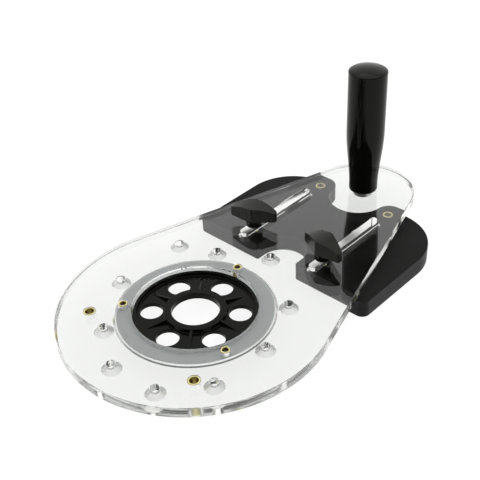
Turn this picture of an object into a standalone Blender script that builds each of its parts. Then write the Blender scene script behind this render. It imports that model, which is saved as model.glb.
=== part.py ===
"""Offset router base plate, modelled piece by piece in Blender 4.5.

A clear acrylic base plate carries a router on its ring and a turned grip at its narrow end.
An edge guide cut from black board lies under the plate. It slides along two slots, where two
wing knobs clamp it. All sizes below are in millimetres. X runs from the ring to the grip and is counted
from the ring's centre, Y runs to the left, Z runs up, and the guide stands on Z = 0.
"""

import math

import bmesh
import bpy
from mathutils import Matrix

# Scale, and the clearance that neighbouring pieces keep
MM = 0.001
GAP = 0.3
PAST = 1.0

# Stack of the main parts
GUIDE_THICK = 13.0
PLATE_THICK = 8.4
PLATE_LOW = GUIDE_THICK + GAP
PLATE_TOP = PLATE_LOW + PLATE_THICK

# Plate outline: two arcs joined by their common tangents
RING_END_R = 88.9
GRIP_END_R = 38.0
GRIP_X = 177.9
PLATE_CENTRE_X = (GRIP_X + GRIP_END_R - RING_END_R) / 2
PLATE_EDGE = 0.3

# Ring opening, with a rebate from below for the insert's flange
RING_HOLE_R = 40.7
REBATE_R = 50.8
REBATE_DEEP = 2.4

# Slots for the two clamping knobs
SLOT_Y = 31.3
SLOT_WIDE = 6.4
SLOT_FRONT_X = 77.3
SLOT_REAR_X = 152.1

# Countersunk router mounting holes, as (radius from the ring's centre, angle)
ROUTER_HOLE_R = 2.8
ROUTER_SINK_R = 6.4
THREE_HOLE_PATTERN = [(59.1, angle) for angle in (30.6, 150.6, 270.6)]
FOUR_HOLE_PATTERN = [(69.8, angle) for angle in (54.5, 180, 234.3, 358)]
ODD_HOLES = [(58.8, 102.6), (59.4, -48.5), (74.9, 207.5)]

# Brass inserts in the plate for a guide rail's screws
PLATE_INSERT_R = 3.9
PLATE_INSERT_BORE_R = 2.6
PLATE_INSERT_AT = (-47.6, 47.3)

# Centre insert: flange, raised wall, floor and hub, with heights from the plate's top
FLANGE_R = 50.4
FLANGE_TOP = -6.3
WALL_OUTER_R = 40.3
WALL_INNER_R = 38.1
WALL_TOP = -3.3
FLOOR_TOP = -5.9
HUB_R = 20.3
HUB_TOP = -3.1
CENTRE_HOLE_R = 15.6
BUSH_SEAT_R = 17.6
BUSH_SEAT_DEEP = 0.8
WINDOW_R = 7.4
WINDOW_RING_R = 28.7
WINDOW_START = 8
WINDOWS = 6
GUSSET_THICK = 2.0
GUSSET_REACH_R = 34.0
SOFT_EDGE = 0.4

# Screws and brass inserts that hold the centre insert
RING_FIXINGS = 3
RING_FIXING_R = 46.7
RING_INSERT_R = 3.1
RING_INSERT_BORE_R = 1.8
RING_SCREW_R = 1.5
RING_SINK_R = 3.55

# Grip, turned, with its insert and its screw from below
GRIP_FOOT_R = 10.6
GRIP_TOP_R = 13.8
GRIP_RAMP_LOW = 4.0
GRIP_RAMP_HIGH = 50.0
GRIP_RIM = 96.4
GRIP_TALL = 99.0
GRIP_BORE_R = 4.8
GRIP_BORE_DEEP = 20.6
GRIP_SCREW_R = 3.0
GRIP_SINK_R = 6.9

# Edge guide outline, for its left half
FRONT_X = 77.7
FRONT_NOTCH_X = 84.7
FRONT_NOTCH_R = 17.1
NOTCH_CORNER_R = 1.5
FRONT_CORNER_R = 6.0
SIDE_Y = 75.6
REAR_X = 178.6
LOBE_R = 38.3
EAR_R = 10.3
EAR_Y = 31.4
REAR_NOTCH_X = 171.2
GUIDE_EDGE = 0.7

# Brass inserts in the guide: the front pair takes the knobs' screws
KNOB_X = 90.4
SPARE_X = 166.1
GUIDE_INSERT_R = 3.8
GUIDE_INSERT_BORE_R = 2.8
GUIDE_INSERT_DEEP = 9.0

# Wing knobs, with heights from the plate's top
WASHER_R = 5.75
WASHER_THICK = 1.0
KNOB_LOW = 1.6
WING_LOW = 6.4
KNOB_TOP = 17.3
ARCH_R = 36.0
KNOB_FOOT_R = 5.0
KNOB_COLLAR_R = 6.6
WING_HALF = [(7.7, 0.4), (1.9, 17.0), (-1.9, 17.0)]
WING_CORNER_R = 1.6
WING_EDGE = 0.7
KNOB_SCREW_R = 2.5
KNOB_SCREW_LOW = 6.0
KNOB_SCREW_TOP = 8.7
KNOB_TURNS = {"left": 22.0, "right": -10.0}

# Facets around a full turn
FINE = 64
MEDIUM = 40
SMALL = 16
WINDOW_FACETS = 20
ARCH_FACETS = 128

SIDES = {"left": 1, "right": -1}


def clear_scene():
    for thing in list(bpy.data.objects):
        bpy.data.objects.remove(thing, do_unlink=True)


def new_collection(name):
    made = bpy.data.collections.new(name)
    bpy.context.scene.collection.children.link(made)
    return made


def make_look(name, colour, roughness, metallic=0.0, clear=0.0):
    look = bpy.data.materials.new(name)
    look.use_nodes = True
    shader = look.node_tree.nodes["Principled BSDF"]
    shader.inputs["Base Color"].default_value = (*colour, 1.0)
    shader.inputs["Roughness"].default_value = roughness
    shader.inputs["Metallic"].default_value = metallic
    shader.inputs["Transmission Weight"].default_value = clear
    shader.inputs["IOR"].default_value = 1.49
    look.diffuse_color = (*colour, 1.0)
    look.metallic = metallic
    look.roughness = roughness
    return look


def arc(centre, radius, start, end, steps):
    """Points on an arc, from one angle to the other in degrees, both ends included."""
    x, y = centre
    angles = [math.radians(start + (end - start) * i / steps) for i in range(steps + 1)]
    return [(x + radius * math.cos(a), y + radius * math.sin(a)) for a in angles]


def around(radius, angle):
    """The point at this radius and angle from the ring's centre."""
    turn = math.radians(angle)
    return radius * math.cos(turn), radius * math.sin(turn)


def rounded(corners, radius, steps):
    """A closed outline through these corners, each one rounded by an arc."""
    outline = []
    for i, (x, y) in enumerate(corners):
        before = corners[i - 1]
        after = corners[(i + 1) % len(corners)]
        back = math.atan2(before[1] - y, before[0] - x)
        ahead = math.atan2(after[1] - y, after[0] - x)
        half = ((ahead - back + math.pi) % (2 * math.pi) - math.pi) / 2
        room = 0.45 * min(math.dist(before, (x, y)), math.dist(after, (x, y)))
        reach = min(radius / abs(math.tan(half)), room)
        fillet = reach * abs(math.tan(half))
        middle = back + half
        away = math.hypot(reach, fillet)
        centre = (x + away * math.cos(middle), y + away * math.sin(middle))
        bend = math.pi - abs(2 * half)
        turn = math.copysign(bend, -half)
        first = middle + math.pi - turn / 2
        outline += arc(centre, fillet, math.degrees(first), math.degrees(first + turn), steps)
    return outline


class Bench:
    """Collections, looks and the empties that pieces hang from."""

    def __init__(self):
        self.parts = new_collection("offset_router_base_plate")
        self.cutters = new_collection("cutters")
        self.cutters.hide_render = True
        self.acrylic = make_look("clear_acrylic", (0.93, 0.96, 0.95), 0.05, clear=1.0)
        self.black_satin = make_look("black_satin_plastic", (0.025, 0.025, 0.027), 0.45)
        self.black_gloss = make_look("black_gloss_plastic", (0.012, 0.012, 0.013), 0.12)
        self.brass = make_look("brass", (0.70, 0.52, 0.24), 0.3, metallic=1.0)
        self.steel = make_look("steel", (0.62, 0.62, 0.63), 0.3, metallic=1.0)
        self.base = self.empty("base_origin", None, (-PLATE_CENTRE_X, 0, 0))
        self.guide = self.empty("guide_slide", self.base, (0, 0, 0))

    def empty(self, name, parent, place):
        made = bpy.data.objects.new(name, None)
        made.empty_display_size = 10 * MM
        made.location = [value * MM for value in place]
        made.parent = parent
        self.parts.objects.link(made)
        return made

    def place(self, name, mesh, parent, at, look=None, turn=0.0):
        """One piece, or a cutter where it has no look, hung from an empty."""
        made = bpy.data.objects.new(name, mesh)
        made.parent = parent
        made.location = [value * MM for value in at]
        made.rotation_euler.z = math.radians(turn)
        if look is None:
            made.hide_render = True
            made.display_type = "WIRE"
            self.cutters.objects.link(made)
        else:
            mesh.materials.append(look)
            self.parts.objects.link(made)
        return made


def outline_mesh(name, points, low, high):
    """A flat outline filled and raised from one height to the other."""
    curve = bpy.data.curves.new(name, "CURVE")
    curve.dimensions = "2D"
    curve.fill_mode = "BOTH"
    curve.extrude = (high - low) / 2
    spline = curve.splines.new("POLY")
    spline.points.add(len(points) - 1)
    for point, (x, y) in zip(spline.points, points):
        point.co = (x, y, 0, 1)
    spline.use_cyclic_u = True
    drawn = bpy.data.objects.new(name, curve)
    bpy.context.scene.collection.objects.link(drawn)
    graph = bpy.context.evaluated_depsgraph_get()
    mesh = bpy.data.meshes.new_from_object(drawn.evaluated_get(graph))
    bpy.data.objects.remove(drawn, do_unlink=True)
    bpy.data.curves.remove(curve)
    shape = bmesh.new()
    shape.from_mesh(mesh)
    bmesh.ops.remove_doubles(shape, verts=shape.verts, dist=0.001)
    bmesh.ops.dissolve_limit(shape, angle_limit=math.radians(0.1), verts=shape.verts, edges=shape.edges)
    bmesh.ops.translate(shape, verts=shape.verts, vec=(0, 0, (low + high) / 2))
    bmesh.ops.scale(shape, verts=shape.verts, vec=(MM, MM, MM))
    bmesh.ops.recalc_face_normals(shape, faces=shape.faces)
    shape.to_mesh(mesh)
    shape.free()
    mesh.name = name
    return mesh


def box_mesh(name, low, high):
    size = [b - a for a, b in zip(low, high)]
    middle = [(a + b) / 2 for a, b in zip(low, high)]
    shape = bmesh.new()
    bmesh.ops.create_cube(shape, size=1.0)
    bmesh.ops.scale(shape, verts=shape.verts, vec=size)
    bmesh.ops.translate(shape, verts=shape.verts, vec=middle)
    bmesh.ops.scale(shape, verts=shape.verts, vec=(MM, MM, MM))
    mesh = bpy.data.meshes.new(name)
    shape.to_mesh(mesh)
    shape.free()
    return mesh


def cylinder_mesh(name, radius, low, high, steps):
    shape = bmesh.new()
    bmesh.ops.create_cone(
        shape, cap_ends=True, segments=steps, radius1=radius, radius2=radius, depth=high - low
    )
    bmesh.ops.translate(shape, verts=shape.verts, vec=(0, 0, (low + high) / 2))
    bmesh.ops.scale(shape, verts=shape.verts, vec=(MM, MM, MM))
    mesh = bpy.data.meshes.new(name)
    shape.to_mesh(mesh)
    shape.free()
    return mesh


def profile_mesh(name, profile):
    """A turned shape's profile, as (radius, height) down the outer side and back up inside.

    It starts and ends on the axis, or else it closes on itself around a bore.
    """
    points = [(radius * MM, 0, height * MM) for radius, height in profile]
    edges = [(i, i + 1) for i in range(len(points) - 1)]
    if profile[-1][0] > 0:
        edges.append((len(points) - 1, 0))
    mesh = bpy.data.meshes.new(name)
    mesh.from_pydata(points, edges, [])
    return mesh


def turn_profile(piece, steps):
    screw = piece.modifiers.new("Turned", "SCREW")
    screw.steps = steps
    screw.render_steps = steps
    screw.use_merge_vertices = True
    screw.merge_threshold = 0.00001
    return piece


def join(piece, other, operation):
    boolean = piece.modifiers.new(f"{operation.title()} {other.name}", "BOOLEAN")
    boolean.operation = operation
    boolean.solver = "EXACT"
    boolean.object = other


def soften(piece, width, segments=2):
    bevel = piece.modifiers.new("Soft edges", "BEVEL")
    bevel.width = width * MM
    bevel.segments = segments
    bevel.limit_method = "ANGLE"
    bevel.angle_limit = math.radians(40)


def finish(pieces):
    """Turns each piece's modifiers into mesh and shades it smooth between its sharp edges."""
    bpy.context.view_layer.update()
    graph = bpy.context.evaluated_depsgraph_get()
    meshes = {piece: bpy.data.meshes.new_from_object(piece.evaluated_get(graph)) for piece in pieces}
    for piece, mesh in meshes.items():
        piece.modifiers.clear()
        piece.data = mesh
        mesh.name = piece.name
        mesh.shade_smooth()
        mesh.set_sharp_from_angle(angle=math.radians(30))


def sink_profile(hole_r, sink_r, low):
    """A cutter's profile for a hole countersunk at 90 degrees from below."""
    cone_top = low + sink_r - hole_r
    return [(0, PAST), (hole_r, PAST), (hole_r, cone_top), (sink_r + PAST, low - PAST), (0, low - PAST)]


def screw_profile(shank_r, head_r, low, top, drive_r, drive_deep):
    """A countersunk screw whose head faces down, with a round drive recess."""
    cone_top = low + head_r - shank_r
    chamfer = 0.3 * shank_r
    return [
        (0, top),
        (shank_r - chamfer, top),
        (shank_r, top - chamfer),
        (shank_r, cone_top),
        (head_r, low),
        (drive_r, low),
        (drive_r, low + drive_deep),
        (0, low + drive_deep + 0.4 * drive_r),
    ]


def insert_profile(radius, bore_r, top, low):
    """A brass insert with two gripping bands and a groove between them."""
    groove = 0.12 * radius
    chamfer = 0.3
    middle = (top + low) / 2
    half = (top - low) / 10
    return [
        (radius, top),
        (radius, middle + half + groove),
        (radius - groove, middle + half),
        (radius - groove, middle - half),
        (radius, middle - half - groove),
        (radius, low),
        (bore_r, low),
        (bore_r, top - chamfer),
        (bore_r + chamfer, top),
    ]


def plate_outline():
    """The wide end's arc and the narrow end's arc, whose tangents close the outline."""
    tangent = math.degrees(math.acos((RING_END_R - GRIP_END_R) / GRIP_X))
    wide = arc((0, 0), RING_END_R, tangent, 360 - tangent, 60)
    narrow = arc((GRIP_X, 0), GRIP_END_R, -tangent, tangent, 28)
    return wide + narrow


def slot_outline():
    radius = SLOT_WIDE / 2
    rear = arc((SLOT_REAR_X - radius, 0), radius, -90, 90, 8)
    front = arc((SLOT_FRONT_X + radius, 0), radius, 90, 270, 8)
    return rear + front


def fixing_angles():
    return [WINDOW_START + i * 360 / RING_FIXINGS for i in range(RING_FIXINGS)]


def make_base_plate(bench):
    body = outline_mesh("base_plate", plate_outline(), -PLATE_THICK, 0)
    plate = bench.place("base_plate", body, bench.base, (0, 0, PLATE_TOP), bench.acrylic)
    soften(plate, PLATE_EDGE, segments=1)

    ring = [
        (0, PAST),
        (RING_HOLE_R, PAST),
        (RING_HOLE_R, REBATE_DEEP - PLATE_THICK),
        (REBATE_R, REBATE_DEEP - PLATE_THICK),
        (REBATE_R, -PLATE_THICK - PAST),
        (0, -PLATE_THICK - PAST),
    ]
    cutter = bench.place("ring_cutter", profile_mesh("ring_cutter", ring), bench.base, (0, 0, PLATE_TOP))
    join(plate, turn_profile(cutter, FINE), "DIFFERENCE")

    slot = outline_mesh("slot_cutter", slot_outline(), -PLATE_THICK - PAST, PAST)
    for side, sign in SIDES.items():
        cutter = bench.place(f"slot_cutter_{side}", slot, bench.base, (0, sign * SLOT_Y, PLATE_TOP))
        join(plate, cutter, "DIFFERENCE")

    def sunk_hole(name, mesh, x, y):
        made = bench.place(name, mesh, bench.base, (x, y, PLATE_TOP))
        join(plate, turn_profile(made, SMALL), "DIFFERENCE")

    router = profile_mesh("router_hole_cutter", sink_profile(ROUTER_HOLE_R, ROUTER_SINK_R, -PLATE_THICK))
    for i, (radius, angle) in enumerate(THREE_HOLE_PATTERN + FOUR_HOLE_PATTERN + ODD_HOLES):
        sunk_hole(f"router_hole_cutter_{i + 1}", router, *around(radius, angle))
    grip = profile_mesh("grip_hole_cutter", sink_profile(GRIP_SCREW_R + GAP, GRIP_SINK_R, -PLATE_THICK))
    sunk_hole("grip_hole_cutter", grip, GRIP_X, 0)

    def plain_hole(name, radius, x, y):
        mesh = cylinder_mesh(name, radius + GAP, -PLATE_THICK - PAST, PAST, SMALL)
        join(plate, bench.place(name, mesh, bench.base, (x, y, PLATE_TOP)), "DIFFERENCE")

    for side, sign in SIDES.items():
        x, y = PLATE_INSERT_AT
        plain_hole(f"plate_insert_cutter_{side}", PLATE_INSERT_R, x, sign * y)
    for i, angle in enumerate(fixing_angles()):
        plain_hole(f"ring_insert_cutter_{i + 1}", RING_INSERT_R, *around(RING_FIXING_R, angle))
    return plate


def make_centre_insert(bench):
    """The round black insert: a dish with a raised hub, six windows and a sunk flange."""
    low = -PLATE_THICK
    seat = low + BUSH_SEAT_DEEP
    profile = [
        (WALL_OUTER_R - SOFT_EDGE, WALL_TOP),
        (WALL_OUTER_R, WALL_TOP - SOFT_EDGE),
        (WALL_OUTER_R, FLANGE_TOP),
        (FLANGE_R, FLANGE_TOP),
        (FLANGE_R, low),
        (BUSH_SEAT_R, low),
        (BUSH_SEAT_R, seat),
        (CENTRE_HOLE_R, seat),
        (CENTRE_HOLE_R, HUB_TOP - SOFT_EDGE),
        (CENTRE_HOLE_R + SOFT_EDGE, HUB_TOP),
        (HUB_R - SOFT_EDGE, HUB_TOP),
        (HUB_R, HUB_TOP - SOFT_EDGE),
        (HUB_R, FLOOR_TOP),
        (WALL_INNER_R, FLOOR_TOP),
        (WALL_INNER_R, WALL_TOP - SOFT_EDGE),
        (WALL_INNER_R + SOFT_EDGE, WALL_TOP),
    ]
    at = (0, 0, PLATE_TOP)
    insert = bench.place(
        "centre_insert", profile_mesh("centre_insert", profile), bench.base, at, bench.black_satin
    )
    turn_profile(insert, FINE)

    sunk = FLOOR_TOP - 0.5
    gusset = outline_mesh(
        "gusset",
        [
            (HUB_R - 1.0, sunk),
            (GUSSET_REACH_R, sunk),
            (GUSSET_REACH_R, FLOOR_TOP),
            (HUB_R + 0.6, HUB_TOP - SOFT_EDGE),
            (HUB_R - 1.0, HUB_TOP - SOFT_EDGE),
        ],
        -GUSSET_THICK / 2,
        GUSSET_THICK / 2,
    )
    gusset.transform(Matrix.Rotation(math.pi / 2, 4, "X"))
    window = cylinder_mesh("window", WINDOW_R, low - PAST, PAST, WINDOW_FACETS)
    step = 360 / WINDOWS
    for i in range(WINDOWS):
        angle = WINDOW_START + i * step
        rib = bench.place(f"gusset_{i + 1}", gusset, bench.base, at, turn=angle + step / 2)
        join(insert, rib, "UNION")
        x, y = around(WINDOW_RING_R, angle)
        cutter = bench.place(f"window_cutter_{i + 1}", window, bench.base, (x, y, PLATE_TOP))
        join(insert, cutter, "DIFFERENCE")

    hole = profile_mesh("flange_hole_cutter", sink_profile(RING_SCREW_R + GAP, RING_SINK_R, low))
    for i, angle in enumerate(fixing_angles()):
        x, y = around(RING_FIXING_R, angle)
        cutter = bench.place(f"flange_hole_cutter_{i + 1}", hole, bench.base, (x, y, PLATE_TOP))
        join(insert, turn_profile(cutter, SMALL), "DIFFERENCE")
    return insert


def make_ring_fixings(bench):
    """Three brass inserts in the plate, and the screws that pull the flange up to them."""
    ceiling = REBATE_DEEP - PLATE_THICK
    sleeve = insert_profile(RING_INSERT_R, RING_INSERT_BORE_R, 0, ceiling + GAP)
    screw = screw_profile(RING_SCREW_R, RING_SINK_R - GAP, -PLATE_THICK + 0.05, -1.2, 1.1, 0.9)
    made = []
    for i, angle in enumerate(fixing_angles()):
        at = (*around(RING_FIXING_R, angle), PLATE_TOP)
        for name, profile, look in (
            (f"ring_insert_{i + 1}", sleeve, bench.brass),
            (f"ring_screw_{i + 1}", screw, bench.steel),
        ):
            piece = bench.place(name, profile_mesh(name, profile), bench.base, at, look)
            made.append(turn_profile(piece, SMALL))
    return made


def make_plate_inserts(bench):
    made = []
    profile = insert_profile(PLATE_INSERT_R, PLATE_INSERT_BORE_R, 0, -PLATE_THICK)
    x, y = PLATE_INSERT_AT
    for side, sign in SIDES.items():
        name = f"plate_insert_{side}"
        at = (x, sign * y, PLATE_TOP)
        piece = bench.place(name, profile_mesh(name, profile), bench.base, at, bench.brass)
        made.append(turn_profile(piece, SMALL))
    return made


def grip_profile():
    """A domed top, a straight upper half, and a waist that eases down to a rounded foot."""
    dome = GRIP_TALL - GRIP_RIM
    dome_r = (GRIP_TOP_R**2 + dome**2) / (2 * dome)
    spread = math.degrees(math.asin(GRIP_TOP_R / dome_r))
    top = arc((0, GRIP_TALL - dome_r), dome_r, 90, 90 - spread, 4)
    top[0] = (0, GRIP_TALL)
    waist = []
    steps = 8
    for i in range(steps + 1):
        ease = (1 + math.cos(math.pi * i / steps)) / 2
        height = GRIP_RAMP_HIGH + (GRIP_RAMP_LOW - GRIP_RAMP_HIGH) * i / steps
        waist.append((GRIP_FOOT_R + (GRIP_TOP_R - GRIP_FOOT_R) * ease, height))
    foot_round = 2.0
    foot = arc((GRIP_FOOT_R - foot_round, GAP + foot_round), foot_round, 0, -90, 3)
    bore = [(GRIP_BORE_R, GAP), (GRIP_BORE_R, GRIP_BORE_DEEP), (0, GRIP_BORE_DEEP + 2.0)]
    return top + [(GRIP_TOP_R, GRIP_RIM - 0.4)] + waist + foot + bore


def make_grip(bench):
    at = (GRIP_X, 0, PLATE_TOP)
    sleeve = insert_profile(GRIP_BORE_R - GAP, GRIP_SCREW_R + GAP, GRIP_BORE_DEEP - 0.6, 2 * GAP)
    screw = screw_profile(GRIP_SCREW_R, GRIP_SINK_R - GAP, -PLATE_THICK + 0.05, 16.0, 2.0, 2.6)
    made = []
    for name, profile, look, steps in (
        ("handle_grip", grip_profile(), bench.black_gloss, MEDIUM),
        ("handle_insert", sleeve, bench.brass, SMALL),
        ("handle_screw", screw, bench.steel, SMALL),
    ):
        piece = bench.place(name, profile_mesh(name, profile), bench.base, at, look)
        made.append(turn_profile(piece, steps))
    return made


def guide_half():
    """The guide's left half, from the middle of the front notch to the middle of the rear one."""
    ear_x = REAR_X - EAR_R
    ear_to_notch = math.hypot(REAR_NOTCH_X - ear_x, EAR_Y)
    meeting = math.degrees(math.atan2(-EAR_Y, REAR_NOTCH_X - ear_x))
    rear_notch_r = ear_to_notch - EAR_R
    tip = (FRONT_X + NOTCH_CORNER_R, FRONT_NOTCH_R + NOTCH_CORNER_R)
    corner = (FRONT_X + FRONT_CORNER_R, SIDE_Y - FRONT_CORNER_R)
    lobe = (REAR_X - LOBE_R, SIDE_Y - LOBE_R)
    return (
        arc((FRONT_NOTCH_X, 0), FRONT_NOTCH_R, 0, 90, 12)
        + arc(tip, NOTCH_CORNER_R, 270, 180, 3)
        + arc(corner, FRONT_CORNER_R, 180, 90, 6)
        + arc(lobe, LOBE_R, 90, 0, 20)
        + arc((ear_x, EAR_Y), EAR_R, 0, meeting, 8)
        + arc((REAR_NOTCH_X, 0), rear_notch_r, meeting + 180, 180, 12)[1:]
    )


def guide_outline():
    half = guide_half()
    return half + [(x, -y) for x, y in reversed(half[1:-1])]


def make_edge_guide(bench):
    """The guide board: two broad lobes with a bridge between, and a blind hole for each insert."""
    body = outline_mesh("edge_guide", guide_outline(), 0, GUIDE_THICK)
    guide = bench.place("edge_guide", body, bench.guide, (0, 0, 0), bench.black_satin)
    soften(guide, GUIDE_EDGE)
    bore = cylinder_mesh(
        "guide_insert_cutter", GUIDE_INSERT_R + GAP, GUIDE_THICK - GUIDE_INSERT_DEEP - GAP,
        GUIDE_THICK + PAST, SMALL,
    )
    for name, x, y in insert_places():
        cutter = bench.place(f"guide_insert_cutter_{name}", bore, bench.guide, (x, y, 0))
        join(guide, cutter, "DIFFERENCE")
    return guide


def insert_places():
    return [
        (f"{row}_{side}", x, sign * SLOT_Y)
        for row, x in (("front", KNOB_X), ("rear", SPARE_X))
        for side, sign in SIDES.items()
    ]


def make_guide_inserts(bench):
    profile = insert_profile(
        GUIDE_INSERT_R, GUIDE_INSERT_BORE_R, GUIDE_THICK, GUIDE_THICK - GUIDE_INSERT_DEEP
    )
    made = []
    for name, x, y in insert_places():
        title = f"guide_insert_{name}"
        piece = bench.place(title, profile_mesh(title, profile), bench.guide, (x, y, 0), bench.brass)
        made.append(turn_profile(piece, SMALL))
    return made


def make_knob(bench, side, sign):
    """One clamp: a washer, a screw into the guide, and a wing knob with an arched top."""
    axis = bench.empty(f"clamp_axis_{side}", bench.guide, (KNOB_X, sign * SLOT_Y, 0))
    at = (0, 0, PLATE_TOP)
    turn = KNOB_TURNS[side]

    washer_top = GAP + WASHER_THICK
    ring = [
        (WASHER_R, washer_top),
        (WASHER_R, GAP),
        (KNOB_SCREW_R + GAP, GAP),
        (KNOB_SCREW_R + GAP, washer_top),
    ]
    name = f"knob_washer_{side}"
    washer = bench.place(name, profile_mesh(name, ring), axis, at, bench.black_satin)
    turn_profile(washer, SMALL)

    tip = KNOB_SCREW_LOW - PLATE_TOP
    stud = [
        (0, KNOB_SCREW_TOP),
        (KNOB_SCREW_R, KNOB_SCREW_TOP),
        (KNOB_SCREW_R, tip + 0.8),
        (KNOB_SCREW_R - 0.8, tip),
        (0, tip),
    ]
    name = f"knob_screw_{side}"
    screw = bench.place(name, profile_mesh(name, stud), axis, at, bench.steel, turn)
    turn_profile(screw, SMALL)

    wings = WING_HALF + [(-x, -y) for x, y in WING_HALF]
    outline = rounded(wings, WING_CORNER_R, 2)
    name = f"knob_head_{side}"
    prism = outline_mesh(name, outline, WING_LOW, KNOB_TOP + PAST)
    head = bench.place(name, prism, axis, at, bench.black_satin, turn)
    arch = cylinder_mesh("knob_arch", ARCH_R, -2 * KNOB_COLLAR_R, 2 * KNOB_COLLAR_R, ARCH_FACETS)
    arch.transform(Matrix.Translation((0, 0, (KNOB_TOP - ARCH_R) * MM)) @ Matrix.Rotation(math.pi / 2, 4, "Y"))
    join(head, bench.place(f"knob_arch_{side}", arch, axis, at, turn=turn), "INTERSECT")
    soften(head, WING_EDGE)
    hub = [
        (0, WING_LOW + 3.0),
        (KNOB_COLLAR_R - 1.5, WING_LOW + 3.0),
        (KNOB_COLLAR_R - 1.5, WING_LOW + 0.5),
        (KNOB_COLLAR_R, WING_LOW - 0.2),
        (KNOB_COLLAR_R - 0.3, WING_LOW - 1.2),
        (KNOB_FOOT_R, KNOB_LOW),
        (0, KNOB_LOW),
    ]
    foot = bench.place(f"knob_foot_{side}", profile_mesh("knob_foot", hub), axis, at)
    join(head, turn_profile(foot, WINDOW_FACETS), "UNION")
    bore = cylinder_mesh("knob_bore", KNOB_SCREW_R + GAP, 0, KNOB_SCREW_TOP + GAP, SMALL)
    join(head, bench.place(f"knob_bore_{side}", bore, axis, at), "DIFFERENCE")
    return [washer, screw, head]


def main():
    clear_scene()
    bench = Bench()
    pieces = [make_base_plate(bench), make_centre_insert(bench)]
    pieces += make_ring_fixings(bench)
    pieces += make_plate_inserts(bench)
    pieces += make_grip(bench)
    pieces.append(make_edge_guide(bench))
    pieces += make_guide_inserts(bench)
    for side, sign in SIDES.items():
        pieces += make_knob(bench, side, sign)
    finish(pieces)


main()
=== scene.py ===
"""Looks of the offset router base plate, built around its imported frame.

Sizes are in millimetres and angles in degrees. Every piece is made at the place that its CAD node
has in the frame: X runs from the router ring to the grip, Y to the left of that, and Z up from the
floor.
"""

import math

import bmesh
import bpy
from mathutils import Matrix, Quaternion, Vector

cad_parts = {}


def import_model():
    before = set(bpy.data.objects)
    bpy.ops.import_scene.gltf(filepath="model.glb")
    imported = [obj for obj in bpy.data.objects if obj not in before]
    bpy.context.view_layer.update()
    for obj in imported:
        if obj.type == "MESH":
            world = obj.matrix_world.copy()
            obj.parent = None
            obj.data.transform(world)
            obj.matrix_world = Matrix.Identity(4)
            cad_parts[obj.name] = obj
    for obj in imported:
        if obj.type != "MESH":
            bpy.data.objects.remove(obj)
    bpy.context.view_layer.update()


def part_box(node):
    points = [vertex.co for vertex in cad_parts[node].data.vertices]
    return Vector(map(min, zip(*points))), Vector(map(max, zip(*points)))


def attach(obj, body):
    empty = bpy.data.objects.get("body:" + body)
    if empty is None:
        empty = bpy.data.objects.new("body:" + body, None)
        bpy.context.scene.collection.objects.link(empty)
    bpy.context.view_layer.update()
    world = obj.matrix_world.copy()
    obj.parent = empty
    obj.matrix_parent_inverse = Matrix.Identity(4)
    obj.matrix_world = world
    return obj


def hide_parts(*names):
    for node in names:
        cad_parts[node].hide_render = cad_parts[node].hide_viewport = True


MM = 0.001
SIDES = ("left", "right")

# Camera, as fitted to the photograph: its place is counted from the ring's centre on the plate's top
PHOTO_WIDTH = 480
FOCAL_PIXELS = 871
CENTRE_PIXEL = (245.0, 237.2)
SENSOR = 36.0
CAMERA_PLACE = (-281.7, -322.1, 354.4)
CAMERA_YAW = 44.31
CAMERA_PITCH = 35.44
CAMERA_ROLL = 2.76

# Room: its bright side is behind the tool as the camera sees it. The cosine between a direction and
# the middle of that side says how bright the room is there.
BRIGHT_YAW = 44.0
BRIGHT_RISE = 32.0
BRIGHT_SIDE = 1.15
BRIGHT_FROM = 0.75
DARK_SIDE = 0.22
DARK_UNTIL = -0.6

# Floor, which glows and lies just below the tool, and the lamp above it
FLOOR_GLOW = 0.89
FLOOR_GAP = 0.05
FLOOR_HALF = 20000
OVERHEAD_HIGH = 1800
OVERHEAD_WIDE = 2200
OVERHEAD_POWER = 11.0

# Acrylic bends light by this index, and the black plastics that shine have a faint olive sheen
ACRYLIC_IOR = 1.49
OLIVE_SHEEN = (1.0, 1.0, 0.88, 1.0)

# Facets around a full turn, and facets in a small rounded corner. The plate's large circles have
# twice as many as FINE.
FINE = 160
MEDIUM = 96
SMALL = 48
CORNER = 4

# Edges above SHARP_ANGLE are shaded sharp, those above BEVEL_ANGLE are bevelled, and a face whose
# normal is as upright as LEVEL is a top or an underside
SHARP_ANGLE = 35
BEVEL_ANGLE = 40
LEVEL = 0.9

# Clearance around what sits in a hole, and how far a cutter reaches past what it cuts
GAP = 0.3
PAST = 1.0

# Threads and knurls touch only the rows of their own radius, and a plain row beside them is drawn
# in by SHY. THREAD_DEEP is a thread's depth as a share of its pitch.
SAME_ROW = 0.001
SHY = 0.02
THREAD_DEEP = 0.28

# Plate
TOP_EDGE = 0.3
RIM_CHAMFER = 1.4
RING_END_R = 88.88
GRIP_END_R = 38.0
RING_HOLE_R = 40.7
REBATE_R = 50.8
REBATE_DEEP = 2.4
SLOT_WIDE = 6.4
SLOT_FRONT = 77.3
SLOT_REAR = 152.1
SLOT_CHAMFER = 1.3
ROUTER_HOLE_R = 2.8
ROUTER_SINK_R = 6.4
GRIP_HOLE_R = 3.3
GRIP_SINK_R = 6.9

# Groove around the rebate, whose dark outer face is painted shade: its inner lip, its deepest line and its
# outer lip
SHADE_GROOVE_R = (51.0, 51.6, 52.6)
SHADE_GROOVE_DEEP = 0.95

# Router holes as (radius, angle) around the ring
THREE_HOLE_PATTERN = [(59.1, angle) for angle in (30.6, 150.6, 270.6)]
FOUR_HOLE_PATTERN = [(69.8, angle) for angle in (54.5, 180, 234.3, 358)]
ODD_HOLES = [(58.8, 102.6), (59.4, -48.5), (74.9, 207.5)]

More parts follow.
